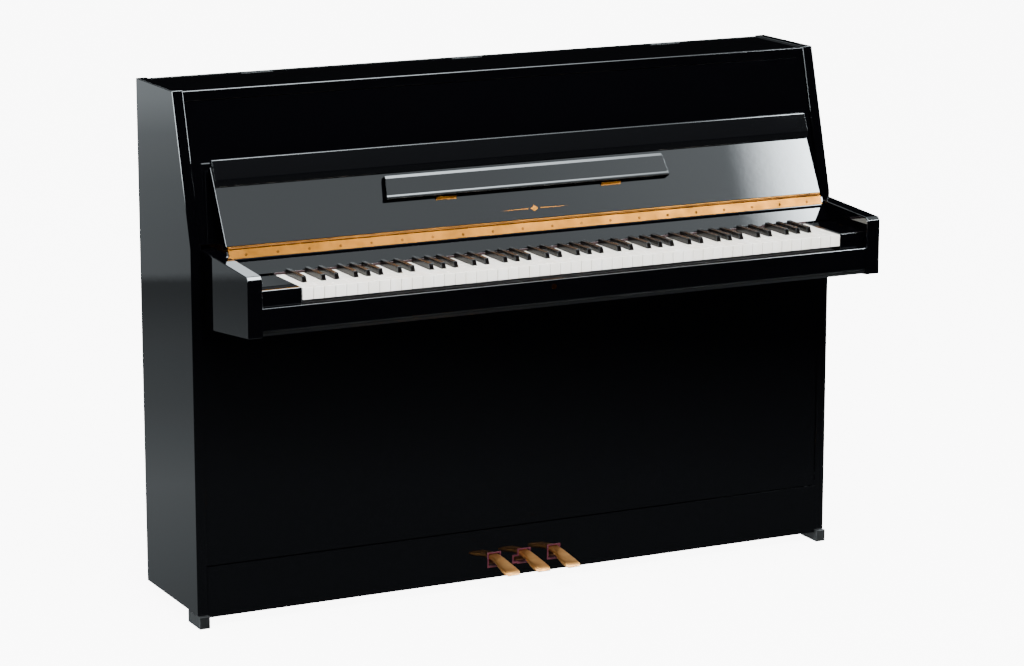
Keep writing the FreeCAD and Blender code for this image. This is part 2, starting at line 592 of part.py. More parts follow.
def makePedals():
    slopeTop = "pedalTop - pedalFall"
    side = [("pedalRear", "pedalLow"), ("pedalRear", "pedalTop"), ("lowerFront - 8", "pedalTop"),
            ("lowerFront - 36", "pedalTop - pedalFall * 0.25"), ("pedalEnd + 10", slopeTop + " + 1.5"),
            ("pedalEnd + 1.5", slopeTop + " - 2.5"), ("pedalEnd", slopeTop + " - 9"),
            ("pedalEnd + 4", slopeTop + " - 9.5"), ("pedalEnd + 12", slopeTop + " - 7"),
            ("lowerFront - 36", "pedalLow - pedalFall * 0.25"), ("lowerFront - 8", "pedalLow")]
    for pedal, centre in pedalCentres.items():
        halves = [("pedalNeck / 2", "pedalRear"), ("pedalNeck / 2", "lowerFront - 22"),
                  ("pedalTip / 2 - 2.5", "pedalEnd + 34"), ("pedalTip / 2", "pedalEnd + 18"),
                  ("pedalTip / 2", "pedalEnd + 7"), ("pedalTip / 2 - 5", "pedalEnd")]
        plan = [(f"{centre} + {x}", y) for x, y in halves]
        plan += [(f"{centre} - ({x})", y) for x, y in reversed(halves)]
        common = doc.addObject("Part::MultiCommon", pedal + "_pedal_lever")
        common.Shapes = [
            prism(pedal + "_pedal_side", "YZ_Plane", side, f"{centre} - pedalTip", "2 * pedalTip"),
            prism(pedal + "_pedal_plan", "XY_Plane", plan, "0", "slotTop + 20")]
        pin = rod(pedal + "_pedal_pin", "X", f"{centre} - pedalPinLength / 2", "pedalAxisY",
                  "pedalAxisZ", "pedalPinRadius", "pedalPinLength")
        keep(pedal + "_pedal", fused(pedal + "_pedal", [common, pin]))
        keep(pedal + "_rod", rod(pedal + "_rod", "Z", centre, "rodY", "pedalTop + rodGap", "rodRadius",
                                 "rodTop - pedalTop - rodGap"))


# Keys.

noteNames = ("c", "c_sharp", "d", "d_sharp", "e", "f", "f_sharp", "g", "g_sharp", "a", "a_sharp", "b")
whiteSteps = {0: 0, 2: 1, 4: 2, 5: 3, 7: 4, 9: 5, 11: 6}
# Centre of each sharp in white key widths: the tails share C to E in fifths, and F to B in sevenths.
sharpSteps = {1: 1.5 * 3 / 5, 3: 3.5 * 3 / 5, 6: 3 + 1.5 * 4 / 7, 8: 3 + 3.5 * 4 / 7, 10: 3 + 5.5 * 4 / 7}


def sharpCentre(octave, step):
    """Where a sharp's middle is, counted in white keys from the lowest white key."""
    return 7 * octave - 5 + sharpSteps[step]


def whiteKey(name, octave, step, isFirst, isLast):
    left = 7 * octave - 5 + whiteSteps[step]
    edgeLeft = f"keyboardLeft + {left} * whitePitch + keyGap / 2"
    edgeRight = f"keyboardLeft + {left + 1} * whitePitch - keyGap / 2"
    tailLeft = edgeLeft
    tailRight = edgeRight
    if step - 1 in sharpSteps and not isFirst:
        tailLeft = (f"keyboardLeft + {sharpCentre(octave, step - 1):.6f} * whitePitch"
                    " + sharpWidth / 2 + keyGap")
    if step + 1 in sharpSteps and not isLast:
        tailRight = (f"keyboardLeft + {sharpCentre(octave, step + 1):.6f} * whitePitch"
                     " - sharpWidth / 2 - keyGap")
    head = box(name + "_head", edgeLeft, "keyFront", "keyLow", "whitePitch - keyGap", "headLength - keyGap",
               "keyTop - keyLow")
    tailStart = "sharpFront - keyGap"
    tail = box(name + "_tail", tailLeft, tailStart, "keyLow", f"({tailRight}) - ({tailLeft})",
               f"keyTopBack - ({tailStart})", "keyTop - keyLow")
    stick = box(name + "_stick", tailLeft, "keyTopBack", "keyLow", f"({tailRight}) - ({tailLeft})",
                "keyBack - keyTopBack", "keyStickTop - keyLow")
    return fused(name, [head, tail, stick])


def blackKey(name, octave, step):
    left = f"keyboardLeft + {sharpCentre(octave, step):.6f} * whitePitch - sharpWidth / 2"
    stick = box(name + "_stick", left, "sharpFront", "keyLow", "sharpWidth", "keyBack - sharpFront",
                "keyStickTop - keyLow")
    top = doc.addObject("Part::Wedge", name + "_top")
    top.Placement = FreeCAD.Placement(
        FreeCAD.Vector(), FreeCAD.Rotation(FreeCAD.Vector(1, 0, 0), 90))
    bind(top, Xmin="0", Xmax="sharpWidth", Ymin="0", Ymax="keyTop + sharpRise - keyStickTop",
         Zmin="0", Zmax="sharpBack - sharpFront", X2min="sharpTaper", X2max="sharpWidth - sharpTaper",
         Z2min="0", Z2max="sharpBack - sharpFront - sharpSlope")
    bind(top, Placement_Base_x=left, Placement_Base_y="sharpBack", Placement_Base_z="keyStickTop")
    return fused(name, [stick, top])


def makeKeys():
    groups = {"white_keys_bass": [], "black_keys_bass": [], "white_keys_treble": [],
              "black_keys_treble": []}
    lowestNote = 9
    for note in range(noteCount):
        octave, step = divmod(note + lowestNote, 12)
        name = f"key_{noteNames[step]}{octave}"
        isWhite = step in whiteSteps
        if isWhite:
            key = whiteKey(name, octave, step, note == 0, note == noteCount - 1)
        else:
            key = blackKey(name, octave, step)
        if octave == 4:
            keep(name, key)
        else:
            colour = "white" if isWhite else "black"
            end = "bass" if octave < 4 else "treble"
            groups[f"{colour}_keys_{end}"].append(key)
    for name, keys in groups.items():
        keep(name, gathered(name, keys))


makeCase()
makeBase()
makeKeyBed()
makeFallboard()
makeHinges()
makeBack()
makeStrings()
makeAction()
makePedals()
makeKeys()
doc.recompute()

# Checks and export.

for item in doc.Objects:
    assert "Invalid" not in item.State and "Error" not in item.State, (item.Label, item.State)
for name, piece in finished.items():
    assert not piece.Shape.isNull() and piece.Shape.isValid(), name
    assert piece.Shape.Volume > 0, name

os.makedirs("parts", exist_ok=True)
for name, piece in finished.items():
    piece.Shape.exportStep(f"parts/{name}.step")
print(len(finished), "sub-parts,", sum(len(piece.Shape.Solids) for piece in finished.values()), "solids")
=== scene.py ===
import json
import math
import bmesh
import bpy
from mathutils import Euler, Matrix, Vector


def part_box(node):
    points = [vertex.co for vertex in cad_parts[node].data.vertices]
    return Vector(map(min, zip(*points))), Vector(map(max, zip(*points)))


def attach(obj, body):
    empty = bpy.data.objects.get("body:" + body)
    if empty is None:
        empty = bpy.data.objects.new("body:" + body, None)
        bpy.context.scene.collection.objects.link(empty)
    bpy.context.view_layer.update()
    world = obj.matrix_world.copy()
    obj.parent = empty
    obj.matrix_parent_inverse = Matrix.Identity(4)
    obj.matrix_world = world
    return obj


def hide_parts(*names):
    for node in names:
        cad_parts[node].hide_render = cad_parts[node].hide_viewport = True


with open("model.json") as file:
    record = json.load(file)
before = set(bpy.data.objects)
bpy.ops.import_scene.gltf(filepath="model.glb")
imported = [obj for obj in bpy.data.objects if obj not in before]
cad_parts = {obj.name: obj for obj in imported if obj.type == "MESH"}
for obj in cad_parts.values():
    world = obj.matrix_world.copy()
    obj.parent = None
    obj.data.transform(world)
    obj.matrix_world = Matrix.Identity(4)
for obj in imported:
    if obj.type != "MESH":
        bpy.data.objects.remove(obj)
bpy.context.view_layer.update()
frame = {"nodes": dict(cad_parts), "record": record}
joints = {joint["name"]: joint for joint in frame["record"]["behaviour"]["joints"]}
bodyOf = {node: body for body, nodes in frame["record"]["behaviour"]["bodies"].items() for node in nodes}
slotOf = {part["node"]: part["material_slot"] for part in frame["record"]["subparts"]}
mm = 0.001
print("frame loaded:", len(frame["nodes"]), "nodes")


def linear(code):
    channels = [int(code[i:i + 2], 16) / 255 for i in (1, 3, 5)]
    return [c / 12.92 if c <= 0.04045 else ((c + 0.055) / 1.055) ** 2.4 for c in channels] + [1.0]


def addNode(tree, kind, settings=None, **inputs):
    # settings are the node's own properties; inputs are values, or sockets to link
    item = tree.nodes.new(kind)
    for key, value in (settings or {}).items():
        setattr(item, key, value)
    for key, value in inputs.items():
        name = key.replace("_", " ")
        socket = item.inputs[int(key[1:])] if key[0] == "i" and key[1:].isdigit() else item.inputs[name]
        if isinstance(value, bpy.types.NodeSocket):
            tree.links.new(value, socket)
        else:
            socket.default_value = value
    return item


def newMaterial(name):
    material = bpy.data.materials.new(name)
    material.use_nodes = True
    tree = material.node_tree
    tree.nodes.clear()
    out = addNode(tree, "ShaderNodeOutputMaterial")
    shader = addNode(tree, "ShaderNodeBsdfPrincipled")
    tree.links.new(shader.outputs["BSDF"], out.inputs["Surface"])
    return material, tree, shader


def objectPlace(tree, scale=(1, 1, 1)):
    coordinates = addNode(tree, "ShaderNodeTexCoord")
    mapping = addNode(tree, "ShaderNodeMapping", Vector=coordinates.outputs["Object"], Scale=scale)
    return mapping.outputs["Vector"]


def noise(tree, place, scale=1.0, detail=2.0, distortion=0.0):
    return addNode(tree, "ShaderNodeTexNoise", Vector=place, Scale=scale, Detail=detail,
                   Distortion=distortion)


def bumpFrom(tree, shader, height, distance, strength):
    bump = addNode(tree, "ShaderNodeBump", Height=height, Distance=distance, Strength=strength)
    tree.links.new(bump.outputs["Normal"], shader.inputs["Normal"])


def mixColours(tree, factor, first, second):
    mix = addNode(tree, "ShaderNodeMix", {"data_type": "RGBA"}, i0=factor, i6=first, i7=second)
    return mix.outputs[2]


def spread(tree, value, low, high, fromLow=0.0, fromHigh=1.0, kind="LINEAR"):
    item = addNode(tree, "ShaderNodeMapRange", {"interpolation_type": kind}, i0=value, i1=fromLow,
                   i2=fromHigh, i3=low, i4=high)
    return item.outputs[0]


def math2(tree, operation, first, second=0.0):
    return addNode(tree, "ShaderNodeMath", {"operation": operation}, i0=first, i1=second).outputs[0]


def makePianoBlack():
    # black polyester lacquer, sprayed thick and buffed: a deep mirror, the faintest ripple and polishing haze
    material, tree, shader = newMaterial("polyester_lacquer_black")
    shader.inputs["Base Color"].default_value = linear("#020203")
    shader.inputs["IOR"].default_value = 1.52
    ripple = noise(tree, objectPlace(tree), 45.0, 2.0)  # 22 mm waves
    haze = noise(tree, objectPlace(tree), 9.0, 5.0)  # wiped patches
    tree.links.new(spread(tree, haze.outputs["Fac"], 0.012, 0.03, 0.3, 0.8), shader.inputs["Roughness"])
    bumpFrom(tree, shader, ripple.outputs["Fac"], 0.00002, 0.35)
    return material


def makeSatinBlack():
    # black paint brushed on where nobody looks closely: soft sheen, faint brush lines along the board
    material, tree, shader = newMaterial("satin_paint_black")
    shader.inputs["Base Color"].default_value = linear("#050505")
    shader.inputs["IOR"].default_value = 1.5
    brush = noise(tree, objectPlace(tree, (5.0, 400.0, 400.0)))
    tree.links.new(spread(tree, brush.outputs["Fac"], 0.36, 0.5), shader.inputs["Roughness"])
    bumpFrom(tree, shader, brush.outputs["Fac"], 0.00005, 0.4)
    return material


def makeKeyWhite():
    # acrylic key covering, moulded and buffed: warm white, soft gloss, very slight yellowing from key to key
    material, tree, shader = newMaterial("acrylic_key_white")
    tone = noise(tree, objectPlace(tree, (42.0, 3.0, 3.0)))
    share = spread(tree, tone.outputs["Fac"], 0, 1, 0.35, 0.65)
    colour = mixColours(tree, share, linear("#F6F4EE"), linear("#EFECE2"))
    tree.links.new(colour, shader.inputs["Base Color"])
    shader.inputs["IOR"].default_value = 1.49
    smear = noise(tree, objectPlace(tree), 60.0, 3.0)  # finger wear
    tree.links.new(spread(tree, smear.outputs["Fac"], 0.16, 0.3, 0.3, 0.7), shader.inputs["Roughness"])
    shader.inputs["Subsurface Weight"].default_value = 0.05
    shader.inputs["Subsurface Radius"].default_value = (0.004, 0.003, 0.002)
    return material


def makeSharpBlack():
    # phenolic resin sharps, moulded and satin-polished: nearly black with a warm cast and fine rubbing marks
    material, tree, shader = newMaterial("phenolic_sharp_black")
    grain = noise(tree, objectPlace(tree, (900.0, 40.0, 900.0)), 1.0, 3.0)
    colour = mixColours(tree, grain.outputs["Fac"], linear("#040404"), linear("#0A0706"))
    tree.links.new(colour, shader.inputs["Base Color"])
    tree.links.new(spread(tree, grain.outputs["Fac"], 0.2, 0.3), shader.inputs["Roughness"])
    shader.inputs["IOR"].default_value = 1.55
    shader.inputs["Specular IOR Level"].default_value = 0.15  # fingers have dulled the polish
    bumpFrom(tree, shader, grain.outputs["Fac"], 0.00003, 0.5)
    return material


def makeBrass(name, light, dark, roughLow, roughHigh):
    # drawn and polished brass under clear lacquer: warm yellow, faint draw lines, duller where handled
    material, tree, shader = newMaterial(name)
    lines = noise(tree, objectPlace(tree, (8.0, 900.0, 900.0)), 1.0, 2.0)
    stain = noise(tree, objectPlace(tree), 30.0, 4.0)
    share = spread(tree, stain.outputs["Fac"], 0, 1, 0.35, 0.75)
    colour = mixColours(tree, share, linear(light), linear(dark))
    tree.links.new(colour, shader.inputs["Base Color"])
    shader.inputs["Metallic"].default_value = 1.0
    both = math2(tree, "MULTIPLY", lines.outputs["Fac"], stain.outputs["Fac"])
    tree.links.new(spread(tree, both, roughLow, roughHigh, 0.1, 0.5), shader.inputs["Roughness"])
    bumpFrom(tree, shader, lines.outputs["Fac"], 0.00002, 0.4)
    return material


def makeFelt(name, light, dark, sheen):
    # pressed wool felt: matt and dense, with short tangled fibres that catch light at the edge
    material, tree, shader = newMaterial(name)
    fibre = noise(tree, objectPlace(tree), 900.0, 4.0)  # 1 mm tufts
    colour = mixColours(tree, fibre.outputs["Fac"], linear(dark), linear(light))
    tree.links.new(colour, shader.inputs["Base Color"])
    shader.inputs["Roughness"].default_value = 0.95
    shader.inputs["Sheen Weight"].default_value = sheen
    shader.inputs["Sheen Roughness"].default_value = 0.5
    bumpFrom(tree, shader, fibre.outputs["Fac"], 0.0004, 0.8)
    return material


def makeWood(name, light, dark, along, ringMm, rough):
    # sawn and sanded timber under thin sealer: bands of early and late wood with fine pores along the grain
    material, tree, shader = newMaterial(name)
    squeeze = [6.0 if axis == along else 1000.0 / ringMm for axis in "XYZ"]
    rings = noise(tree, objectPlace(tree, squeeze), 1.0, 3.0, 0.6)
    pores = noise(tree, objectPlace(tree, [s * 6 for s in squeeze]), 1.0, 2.0)
    grain = spread(tree, rings.outputs["Fac"], 0, 1, 0.3, 0.7)
    colour = mixColours(tree, grain, linear(light), linear(dark))
    tree.links.new(colour, shader.inputs["Base Color"])
    tree.links.new(spread(tree, pores.outputs["Fac"], rough, rough + 0.2), shader.inputs["Roughness"])
    bumpFrom(tree, shader, pores.outputs["Fac"], 0.0002, 0.4)
    return material


def makeCastBronze():
    # sand-cast iron sprayed bronze: faint sand pits under an even metallic paint
    material, tree, shader = newMaterial("cast_iron_bronze_paint")
    pits = noise(tree, objectPlace(tree), 350.0, 3.0)  # 3 mm sand texture
    colour = mixColours(tree, pits.outputs["Fac"], linear("#A8843F"), linear("#C8A257"))
    tree.links.new(colour, shader.inputs["Base Color"])
    shader.inputs["Metallic"].default_value = 0.7
    shader.inputs["Roughness"].default_value = 0.42
    bumpFrom(tree, shader, pits.outputs["Fac"], 0.0003, 0.6)
    return material


def makeWire(name, light, dark, windMm):
    # drawn steel, or copper wound round a core: the winding is drawn coarser than it is so that it shows
    material, tree, shader = newMaterial(name)
    wind = noise(tree, objectPlace(tree, (1000 / windMm,) * 3), 1.0, 1.0)
    colour = mixColours(tree, wind.outputs["Fac"], linear(light), linear(dark))
    tree.links.new(colour, shader.inputs["Base Color"])
    shader.inputs["Metallic"].default_value = 1.0
    tree.links.new(spread(tree, wind.outputs["Fac"], 0.22, 0.4), shader.inputs["Roughness"])
    return material


def makeRubber():
    # moulded black foot: matt with a light bloom
    material, tree, shader = newMaterial("moulded_foot_black")
    bloom = noise(tree, objectPlace(tree), 120.0, 4.0)
    colour = mixColours(tree, bloom.outputs["Fac"], linear("#040404"), linear("#0A0A0B"))
    tree.links.new(colour, shader.inputs["Base Color"])
    tree.links.new(spread(tree, bloom.outputs["Fac"], 0.45, 0.65), shader.inputs["Roughness"])
    bumpFrom(tree, shader, bloom.outputs["Fac"], 0.0002, 0.3)
    return material


finishes = {
    "black_polish": makePianoBlack(),
    "key_white": makeKeyWhite(),
    "key_black": makeSharpBlack(),
    "key_wood": makeWood("sanded_spruce_key", "#D9BC8C", "#B98F58", "Y", 5.0, 0.5),
    "brass": makeBrass("lacquered_brass", "#80501A", "#643E10", 0.28, 0.36),
    # the darker brass is painted shade: a shaded copy of the brass for the shadow on the hinge knuckles; the
    # screws and the slip lock take it too
    "brass_dark": makeBrass("darker_brass_painted_shade", "#5C3610", "#3A2008", 0.28, 0.4),
    "brass_pedal": makeBrass("polished_pedal_brass", "#E6A862", "#CE8C48", 0.42, 0.52),
    "black_satin": makeSatinBlack(),
    "felt_maroon": makeFelt("wool_felt_maroon", "#2A0409", "#150205", 0.3),
    "felt_slot": makeFelt("wool_felt_red", "#541226", "#300A16", 0.05),
    "felt_grey": makeFelt("wool_felt_pale", "#D8D2C4", "#A8A294", 0.4),
    "spruce": makeWood("varnished_spruce_board", "#DDB67C", "#B98444", "X", 3.0, 0.34),
    "beech": makeWood("sealed_beech", "#C9A075", "#A87A4E", "X", 12.0, 0.4),
    "beech_upright": makeWood("sealed_beech_upright", "#C9A075", "#A87A4E", "Z", 12.0, 0.4),
    "iron_bronze": makeCastBronze(),
    "steel": makeWire("drawn_steel_wire", "#B9BBC0", "#8E9096", 4.0),
    "copper_wound": makeWire("copper_wound_wire", "#C77A4A", "#8A4E2C", 1.2),
    "foot_black": makeRubber(),
}
# pieces whose real finish is a little apart from the rest of their slot
ownFinish = {"key_bed": "black_satin", "slip_lock": "brass_dark", "pedal_slot_felts": "felt_slot",
             "key_frame": "felt_maroon", "lid_hinges": "black_satin"}
for nodeName, nodeObject in frame["nodes"].items():
    nodeObject.data.materials.clear()
    nodeObject.data.materials.append(finishes[ownFinish.get(nodeName, slotOf[nodeName])])
print("materials made:", len(finishes))


def meshPiece(name, data, body, slot, nodes=()):
    piece = bpy.data.objects.new(name, data)
    bpy.context.scene.collection.objects.link(piece)
    if not data.materials:
        data.materials.append(finishes[slot])
    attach(piece, body)
    if nodes:
        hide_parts(*nodes)
    return piece


def nodeCopy(node):
    # a merged copy of a CAD node's triangles, with its flat faces joined again
    work = bmesh.new()
    work.from_mesh(frame["nodes"][node].data)
    bmesh.ops.remove_doubles(work, verts=work.verts, dist=0.000002)
    bmesh.ops.dissolve_limit(work, angle_limit=math.radians(0.6), verts=work.verts, edges=work.edges)
    return work


def shadeByAngle(data, degrees=35):
    for face in data.polygons:
        face.use_smooth = True
    data.set_sharp_from_angle(angle=math.radians(degrees))


def flatShading(data):
    # each corner takes the normal of its largest face, so that flat boards mirror flatly up to their edges
    largest = [(0.0, Vector((0, 0, 1)))] * len(data.vertices)
    for face in data.polygons:
        face.use_smooth = True
        for index in face.vertices:
            if face.area > largest[index][0]:
                largest[index] = (face.area, face.normal.copy())
    data.normals_split_custom_set_from_vertices([normal for area, normal in largest])


def bevelled(name, work, width, segments, limit=30):
    # a real rounded edge, applied, so that the mesh that is handed on has it
    data = bpy.data.meshes.new(name)
    bmesh.ops.recalc_face_normals(work, faces=work.faces)
    work.to_mesh(data)
    work.free()
    carrier = bpy.data.objects.new(name + "_work", data)
    bpy.context.scene.collection.objects.link(carrier)
    modifier = carrier.modifiers.new("round", "BEVEL")
    modifier.width = width
    modifier.segments = segments
    modifier.limit_method = "ANGLE"
    modifier.angle_limit = math.radians(limit)
    view = carrier.evaluated_get(bpy.context.evaluated_depsgraph_get())
    result = bpy.data.meshes.new_from_object(view)
    result.name = name
    bpy.data.objects.remove(carrier)
    flatShading(result)
    return result


def boardFromNode(node, width):
    data = bevelled(node + "_finished", nodeCopy(node), width * mm, 3)
    data.materials.append(finishes[ownFinish.get(node, slotOf[node])])
    meshPiece(node + "_finished", data, bodyOf[node], slotOf[node], [node])


def roundedOutline(corners, steps=5):
    # corners are (a, b, radius) in millimetres; each becomes an arc
    points = []
    count = len(corners)
    for index, (a, b, radius) in enumerate(corners):
        here = Vector((a, b))
        before = Vector(corners[index - 1][:2]) - here
        after = Vector(corners[(index + 1) % count][:2]) - here
        if radius == 0:
            points.append(here)
            continue
        half = before.angle(after) / 2
        reach = min(radius / math.tan(half), before.length * 0.49, after.length * 0.49)
        radius = reach * math.tan(half)
        middle = here + (before.normalized() + after.normalized()).normalized() * radius / math.sin(half)
        start = here + before.normalized() * reach - middle
        turn = start.angle_signed(here + after.normalized() * reach - middle)
        for step in range(steps + 1):
            points.append(middle + Matrix.Rotation(-turn * step / steps, 2) @ start)
    return points


longAxis = Vector(joints["fallboard_hinge"]["pos_m"])
flapAxis = Vector(joints["flap_hinge"]["pos_m"])
lean = math.atan2(flapAxis.y - longAxis.y, flapAxis.z - longAxis.z)


def onBoard(x, t, n):
    # millimetres along the board to a place in the frame
    return Vector((x * mm,
                   longAxis.y + (t * math.sin(lean) - n * math.cos(lean)) * mm,
                   longAxis.z + (t * math.cos(lean) + n * math.sin(lean)) * mm))


def extruded(outline, halfAt, place):
    # a closed bar: the outline's points are (t, n), and halfAt gives the half length at each t
    work = bmesh.new()
    rings = []
    for side in (-1, 1):
        rings.append([work.verts.new(place(side * halfAt(t), t, n)) for t, n in outline])
    count = len(outline)
    for index in range(count):
        after = (index + 1) % count
        work.faces.new((rings[0][index], rings[0][after], rings[1][after], rings[1][index]))
    work.faces.new(rings[0][::-1])
    work.faces.new(rings[1])
    bmesh.ops.recalc_face_normals(work, faces=work.faces)
    return work


caseEdges = {"side_board_left": 1.3, "side_board_right": 1.3, "arm_left": 1.8, "arm_right": 1.8,
             "upper_panel": 0.12, "lower_panel": 0.2, "toe_rail": 0.2, "key_bed": 1.6, "key_slip": 1.4,
             "key_block_left": 1.2, "key_block_right": 1.2, "fallboard": 1.4, "feet": 1.5}
for boardName, edge in caseEdges.items():
    boardFromNode(boardName, edge)
print("case boards rounded:", len(caseEdges))

lidForm = {"frontTop": 2.5, "other": 0.5}


def makeLid():
    low, high = [[edge / mm for edge in corner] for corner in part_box("top_lid")]
    small = lidForm["other"]
    outline = roundedOutline([(low[1], low[2], small), (low[1], high[2], lidForm["frontTop"]),
                              (high[1], high[2], small), (high[1], low[2], small)])
    work = extruded(outline, lambda y: high[0], lambda x, y, z: Vector((x, y, z)) * mm)
    data = bevelled("lid_finished", work, 0.5 * mm, 2, 55)
    meshPiece("lid_finished", data, bodyOf["top_lid"], "black_polish", ["top_lid"])


# the nameboard is let in below the hinge leaf: a shallow cove that faces down and stays dark
nameboardForm = {
    "outline": [(-5, 0), (-22, 0), (-28, -2.2), (-28.5, 0), (-56, 0), (-46.43, -18), (-5, -18)],
    "half": 686,
}


def makeNameboard():
    work = extruded(nameboardForm["outline"], lambda t: nameboardForm["half"], onBoard)
    data = bevelled("nameboard_finished", work, 0.05 * mm, 1, 30)
    meshPiece("nameboard_finished", data, bodyOf["nameboard"], "black_polish", ["nameboard"])


makeLid()
makeNameboard()
print("lid and nameboard made")

# the back: beech posts and beams, with the rail that shows above the lid in black
backForm = {"blackAbove": 1045.5, "beams": (110, 995)}


def makeBackFrame():
    work = nodeCopy("back_frame")
    for height in (*backForm["beams"], backForm["blackAbove"]):  # each side of a cut takes its own finish
        bmesh.ops.bisect_plane(work, geom=work.verts[:] + work.edges[:] + work.faces[:],
                               plane_co=(0, 0, height * mm), plane_no=(0, 0, 1))
    bmesh.ops.triangulate(work, faces=work.faces)  # a face with bays in it doesn't round cleanly
    data = bevelled("back_frame_finished", work, 1.5 * mm, 2)
    for slotName in ("black_polish", "beech", "beech_upright"):
        data.materials.append(finishes[slotName])
    for face in data.polygons:
        height = face.center.z / mm
        isPost = backForm["beams"][0] < height < backForm["beams"][1]
        isRail = height > backForm["blackAbove"] and face.normal.y < 0.5
        face.material_index = 0 if isRail else 2 if isPost else 1
    meshPiece("back_frame_finished", data, bodyOf["back_frame"], "beech", ["back_frame"])


def makeTwoTone(node, slot, first, second, isSecond):
    # one node in two materials: isSecond says which faces take the second
    data = bevelled(node + "_finished", nodeCopy(node), 0.3 * mm, 1)
    data.materials.append(finishes[first])
    data.materials.append(finishes[second])
    for face in data.polygons:
        face.material_index = int(isSecond(face.center))
    meshPiece(node + "_finished", data, bodyOf[node], slot, [node])


def shareUp(node, share, axis):
    # a place part way through a node's box
    low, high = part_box(node)
    return low[axis] + (high[axis] - low[axis]) * share


makeBackFrame()
feltFrom = shareUp("hammers", 0.855, 2)
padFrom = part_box("dampers")[0][1] + 4.05 * mm
makeTwoTone("hammers", slotOf["hammers"], "beech_upright", "felt_grey", lambda place: place.z > feltFrom)
makeTwoTone("dampers", slotOf["dampers"], "beech_upright", "felt_grey", lambda place: place.y > padFrom)
print("back and action finished")


keyForm = {"whiteEdge": 0.7, "sharpEdge": 1.3, "woodBehind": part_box("nameboard_felt")[0][1]}


def keyFromNode(node):
    isWhite = slotOf[node] == "key_white"
    edge = keyForm["whiteEdge" if isWhite else "sharpEdge"]
    data = bevelled(node + "_finished", nodeCopy(node), edge * mm, 2 if isWhite else 3)
    meshPiece(node + "_finished", data, bodyOf[node], slotOf[node], [node])
    data.materials.append(finishes["key_wood"])
    for face in data.polygons:  # the bare wood shows behind the nameboard
        if min(data.vertices[index].co.y for index in face.vertices) > keyForm["woodBehind"]:
            face.material_index = 1


for nodeName in slotOf:
    if slotOf[nodeName] in ("key_white", "key_black"):
        keyFromNode(nodeName)
print("keys rounded")


flapForm = {
    "outline": [(130, 0.9, 1.0), (129, 3.0, 1.5), (140.5, 11.0, 3.0), (183, 13.0, 3.6), (186, 6.0, 2.0),
                (184, 0.9, 1.0), (180.6, 0.5, 0.4), (179.2, 3.4, 0.8), (172.8, 3.4, 0.8), (171.4, 0.5, 0.4)],
    "half": 683.8,
}


def makeFlap():
    outline = roundedOutline(flapForm["outline"])
    work = extruded(outline, lambda t: flapForm["half"], onBoard)
    data = bevelled("flap_finished", work, 0.9 * mm, 3, 55)
    meshPiece("flap_finished", data, "flap", "black_polish", ["fallboard_flap"])


ledgeForm = {
    "outline": [(70.5, 0.6, 0.8), (70.5, 13.4, 2.6), (75.5, 13.4, 0.8), (79.0, 12.0, 0.8),
                (114.5, 12.0, 1.5), (122.0, 9.0, 2.5), (122.0, 0.6, 1.5)],
    "half": 326, "taper": 7, "low": 70.5, "high": 122,
}


def makeLedge():
    outline = roundedOutline(ledgeForm["outline"], 4)
    run = ledgeForm["high"] - ledgeForm["low"]

    def halfAt(t):
        return ledgeForm["half"] - ledgeForm["taper"] * (t - ledgeForm["low"]) / run

    work = extruded(outline, halfAt, onBoard)
    data = bevelled("ledge_finished", work, 0.8 * mm, 3, 55)
    meshPiece("ledge_finished", data, "ledge", "black_polish", ["music_ledge"])


makeFlap()
makeLedge()
print("flap and ledge made")


def repeatTree(name, finish):
    # copies of the incoming mesh along a line, each turned by its own random angle about Z
    tree = bpy.data.node_groups.new(name, "GeometryNodeTree")
    sockets = {}
    kinds = {"Geometry": "Geometry", "Count": "Int", "Start": "Vector", "Step": "Vector", "Turn": "Float",
             "Seed": "Int"}
    for label, kind in kinds.items():
        sockets[label] = tree.interface.new_socket(name=label, in_out="INPUT",
                                                   socket_type="NodeSocket" + kind)
    tree.interface.new_socket(name="Geometry", in_out="OUTPUT", socket_type="NodeSocketGeometry")
    given = addNode(tree, "NodeGroupInput")
    line = addNode(tree, "GeometryNodeMeshLine", {"mode": "OFFSET"}, Count=given.outputs["Count"],
                   Start_Location=given.outputs["Start"], Offset=given.outputs["Step"])
    chance = addNode(tree, "FunctionNodeRandomValue", {"data_type": "FLOAT"}, i2=0.0,
                     i3=given.outputs["Turn"], Seed=given.outputs["Seed"])
    turn = addNode(tree, "ShaderNodeCombineXYZ", Z=chance.outputs[1])
    copies = addNode(tree, "GeometryNodeInstanceOnPoints", Points=line.outputs["Mesh"],
                     Instance=given.outputs["Geometry"], Rotation=turn.outputs[0])
    real = addNode(tree, "GeometryNodeRealizeInstances", Geometry=copies.outputs[0])
    dressed = addNode(tree, "GeometryNodeSetMaterial", Geometry=real.outputs[0], Material=finish)
    out = addNode(tree, "NodeGroupOutput")
    tree.links.new(dressed.outputs[0], out.inputs[0])
    return tree, sockets


def repeated(name, work, finish, **inputs):
    # the repeat, worked out once and kept as a plain mesh
    data = bpy.data.meshes.new(name + "_one")
    bmesh.ops.recalc_face_normals(work, faces=work.faces)
    work.to_mesh(data)
    work.free()
    carrier = bpy.data.objects.new(name + "_work", data)
    bpy.context.scene.collection.objects.link(carrier)
    modifier = carrier.modifiers.new("repeat", "NODES")
    tree, sockets = repeatTree(name + "_tree", finish)
    modifier.node_group = tree
    for label, value in inputs.items():
        modifier[sockets[label].identifier] = value
    view = carrier.evaluated_get(bpy.context.evaluated_depsgraph_get())
    result = bpy.data.meshes.new_from_object(view)
    result.name = name
    bpy.data.objects.remove(carrier)
    shadeByAngle(result)
    return result


